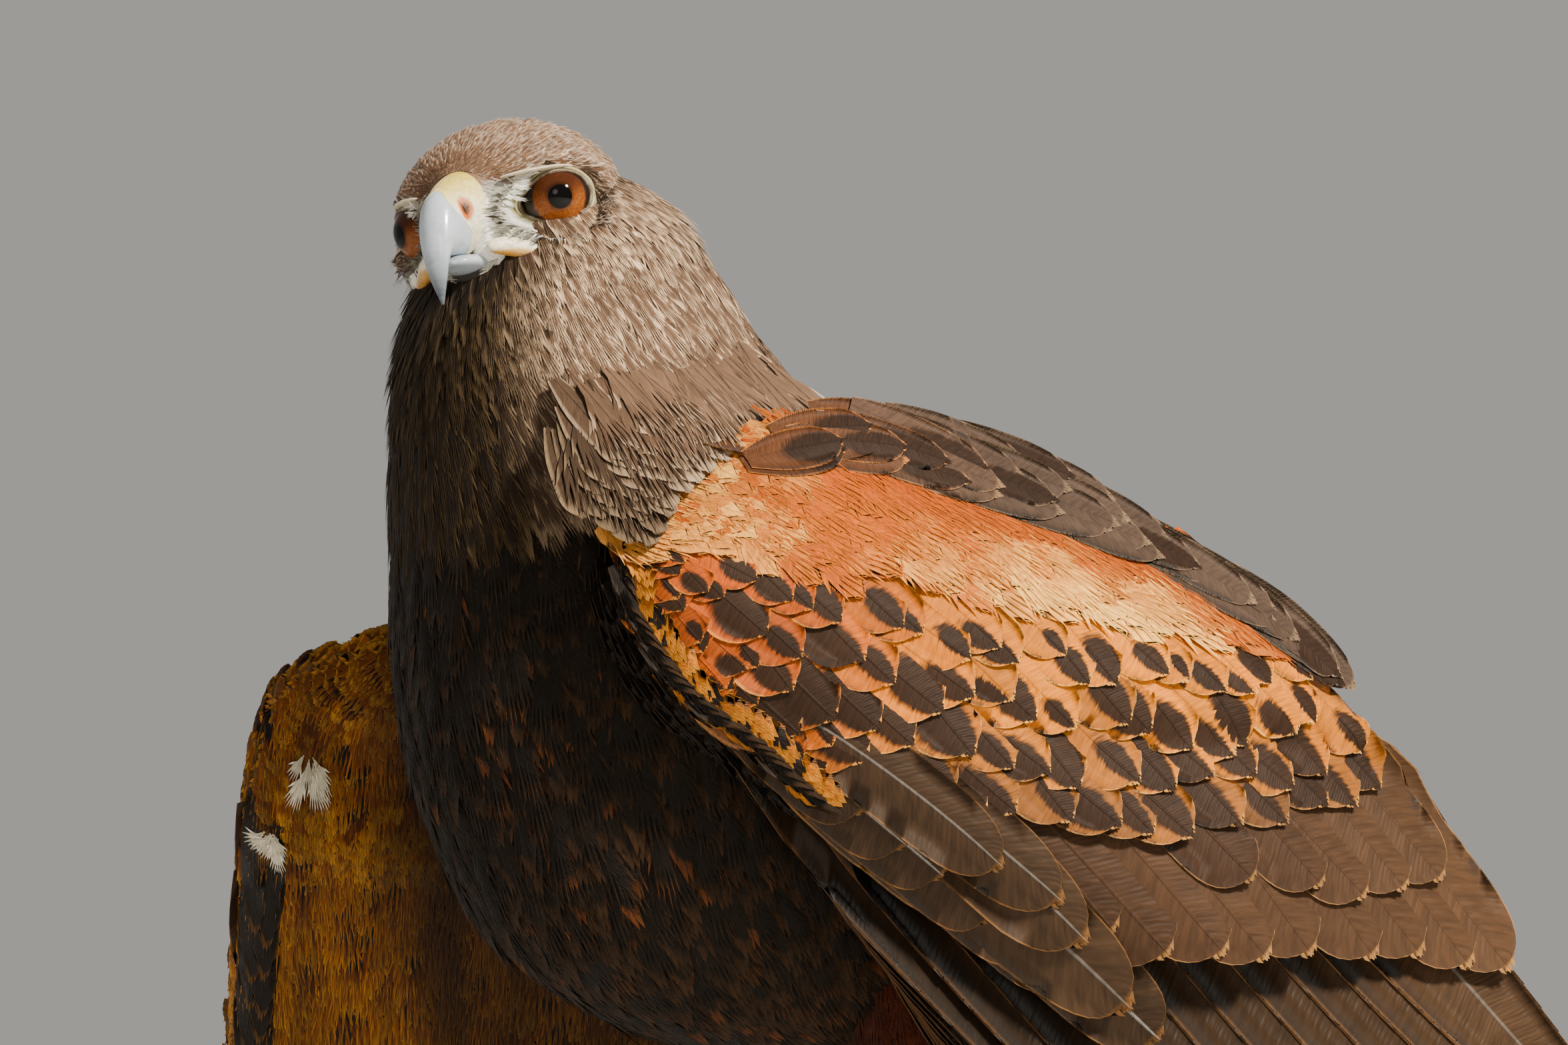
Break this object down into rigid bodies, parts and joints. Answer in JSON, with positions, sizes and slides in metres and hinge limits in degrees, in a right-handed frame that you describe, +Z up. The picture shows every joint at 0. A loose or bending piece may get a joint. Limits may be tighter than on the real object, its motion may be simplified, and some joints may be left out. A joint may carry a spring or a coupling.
{
  "type": "harris hawk",
  "caption": "Standing Harris's hawk with hooked bill, chocolate body, rufous shoulders, long tail, one wing folded and one drooped open.",
  "frame": {"origin": "on the floor, under the middle of the whole bird's box", "axes": "+Z up, the trunk faces -Y, +X is the bird's left"},
  "size_m": [0.4046, 0.4104, 0.4168],
  "materials": {
    "body_plumage": "dark chocolate feathers, soft and matte",
    "rufous_plumage": "rufous feathers with dark centres, soft and matte",
    "flight_feathers": "dark brown vanes with paler edges, matte",
    "tail_plumage": "blackish tail vanes, white at base and tip, matte",
    "eye": "clear wet surface over a red-brown iris",
    "cere": "pale yellow, waxy",
    "bill": "pale blue-grey horn, darker at the tip, satin",
    "leg_skin": "yellow scaled skin",
    "claw": "black horn, semi-gloss"
  },
  "bodies": {
    "root": {"torso": "body_plumage", "head": "body_plumage", "eye_left": "eye", "eye_right": "eye", "cere": "cere", "bill_upper": "bill", "bill_lower": "bill", "neck": "body_plumage", "wing_left": "rufous_plumage", "wing_left_hand": "flight_feathers", "wing_right": "rufous_plumage", "wing_right_hand": "flight_feathers", "tail": "tail_plumage", "thigh_left": "rufous_plumage", "tarsus_left": "leg_skin", "claw_middle_left": "claw", "claw_inner_left": "claw", "claw_outer_left": "claw", "claw_hind_left": "claw", "foot_left": "leg_skin", "thigh_right": "rufous_plumage", "tarsus_right": "leg_skin", "claw_middle_right": "claw", "claw_inner_right": "claw", "claw_outer_right": "claw", "claw_hind_right": "claw", "foot_right": "leg_skin"}
  },
  "joints": []
}
